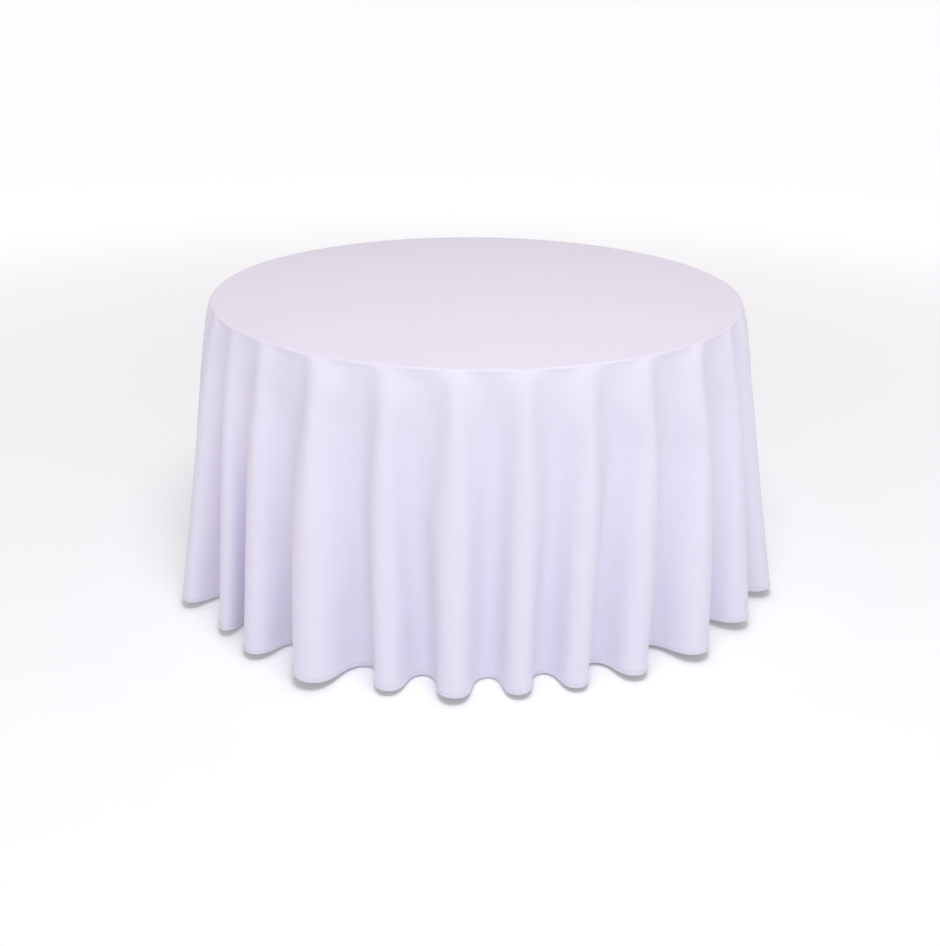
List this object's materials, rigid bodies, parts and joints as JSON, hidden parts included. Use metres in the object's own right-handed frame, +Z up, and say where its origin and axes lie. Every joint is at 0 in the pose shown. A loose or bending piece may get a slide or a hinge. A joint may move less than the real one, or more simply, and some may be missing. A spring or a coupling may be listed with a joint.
{
  "type": "tablecloth on a table",
  "caption": "Floor-length round tablecloth hanging in soft folds over a round folding banquet table.",
  "frame": {"origin": "on the floor, under the middle of the round top", "axes": "+Z up, -Y towards the front, X along the two hinge tubes"},
  "size_m": [1.8298, 1.8298, 0.7635],
  "materials": {
    "cloth": "matte",
    "hem_cloth": "matte",
    "plywood": "satin",
    "vinyl_edging": "satin",
    "powder_coat": "satin",
    "zinc": "satin",
    "rubber": "matte"
  },
  "bodies": {
    "table": {"brace_bracket_screws": "zinc", "bracket_rivets": "zinc", "bumper_screws": "zinc", "edge_moulding": "vinyl_edging", "front_brace_bracket": "zinc", "front_brace_bracket_pin": "zinc", "front_pivot_bracket_left": "zinc", "front_pivot_bracket_right": "zinc", "rail_left": "powder_coat", "rail_right": "powder_coat", "rail_screws": "zinc", "rear_brace_bracket": "zinc", "rear_brace_bracket_pin": "zinc", "rear_pivot_bracket_left": "zinc", "rear_pivot_bracket_right": "zinc", "stacking_bumpers": "rubber", "tabletop": "plywood"},
    "front_legs": {"front_boot_left": "rubber", "front_boot_right": "rubber", "front_brace_lug": "powder_coat", "front_brace_lug_pin": "zinc", "front_crossbar": "powder_coat", "front_hinge_tube": "powder_coat", "front_leg_left": "powder_coat", "front_leg_right": "powder_coat"},
    "rear_legs": {"rear_boot_left": "rubber", "rear_boot_right": "rubber", "rear_brace_lug": "powder_coat", "rear_brace_lug_pin": "zinc", "rear_crossbar": "powder_coat", "rear_hinge_tube": "powder_coat", "rear_leg_left": "powder_coat", "rear_leg_right": "powder_coat"},
    "front_upper_brace": {"front_knuckle_rivet": "zinc", "front_upper_brace": "zinc"},
    "rear_upper_brace": {"rear_knuckle_rivet": "zinc", "rear_upper_brace": "zinc"},
    "front_lower_brace": {"front_knuckle_rivet_head": "zinc", "front_lower_brace": "zinc"},
    "rear_lower_brace": {"rear_knuckle_rivet_head": "zinc", "rear_lower_brace": "zinc"},
    "tablecloth": {"hem": "hem_cloth", "tablecloth": "cloth"}
  },
  "joints": [
    {"name": "front_legs_fold", "type": "hinge", "parent": "table", "child": "front_legs", "pos_m": [0, -0.48, 0.71], "axis": [1, 0, 0], "range_deg": [0, 95]},
    {"name": "front_upper_brace_swing", "type": "hinge", "parent": "table", "child": "front_upper_brace", "pos_m": [0, -0.06, 0.71], "axis": [-1, 0, 0], "range_deg": [0, 26.5]},
    {"name": "front_lower_brace_swing", "type": "hinge", "parent": "front_legs", "child": "front_lower_brace", "pos_m": [0, -0.49145, 0.51024], "axis": [1, 0, 0], "range_deg": [0, 58.7]},
    {"name": "rear_legs_fold", "type": "hinge", "parent": "table", "child": "rear_legs", "pos_m": [0, 0.48, 0.71], "axis": [-1, 0, 0], "range_deg": [0, 95]},
    {"name": "rear_upper_brace_swing", "type": "hinge", "parent": "table", "child": "rear_upper_brace", "pos_m": [0, 0.06, 0.71], "axis": [1, 0, 0], "range_deg": [0, 26.5]},
    {"name": "rear_lower_brace_swing", "type": "hinge", "parent": "rear_legs", "child": "rear_lower_brace", "pos_m": [0, 0.49145, 0.51024], "axis": [-1, 0, 0], "range_deg": [0, 58.7]},
    {"name": "cloth_lift", "type": "slide", "parent": "table", "child": "tablecloth", "axis": [0, 0, 1], "range_m": [0, 0.8]}
  ],
  "couplings": [
    {"joint": "front_upper_brace_swing", "follows": "front_legs_fold", "ratio": 0.27796},
    {"joint": "front_lower_brace_swing", "follows": "front_legs_fold", "ratio": 0.61678},
    {"joint": "rear_upper_brace_swing", "follows": "rear_legs_fold", "ratio": 0.27796},
    {"joint": "rear_lower_brace_swing", "follows": "rear_legs_fold", "ratio": 0.61678}
  ]
}
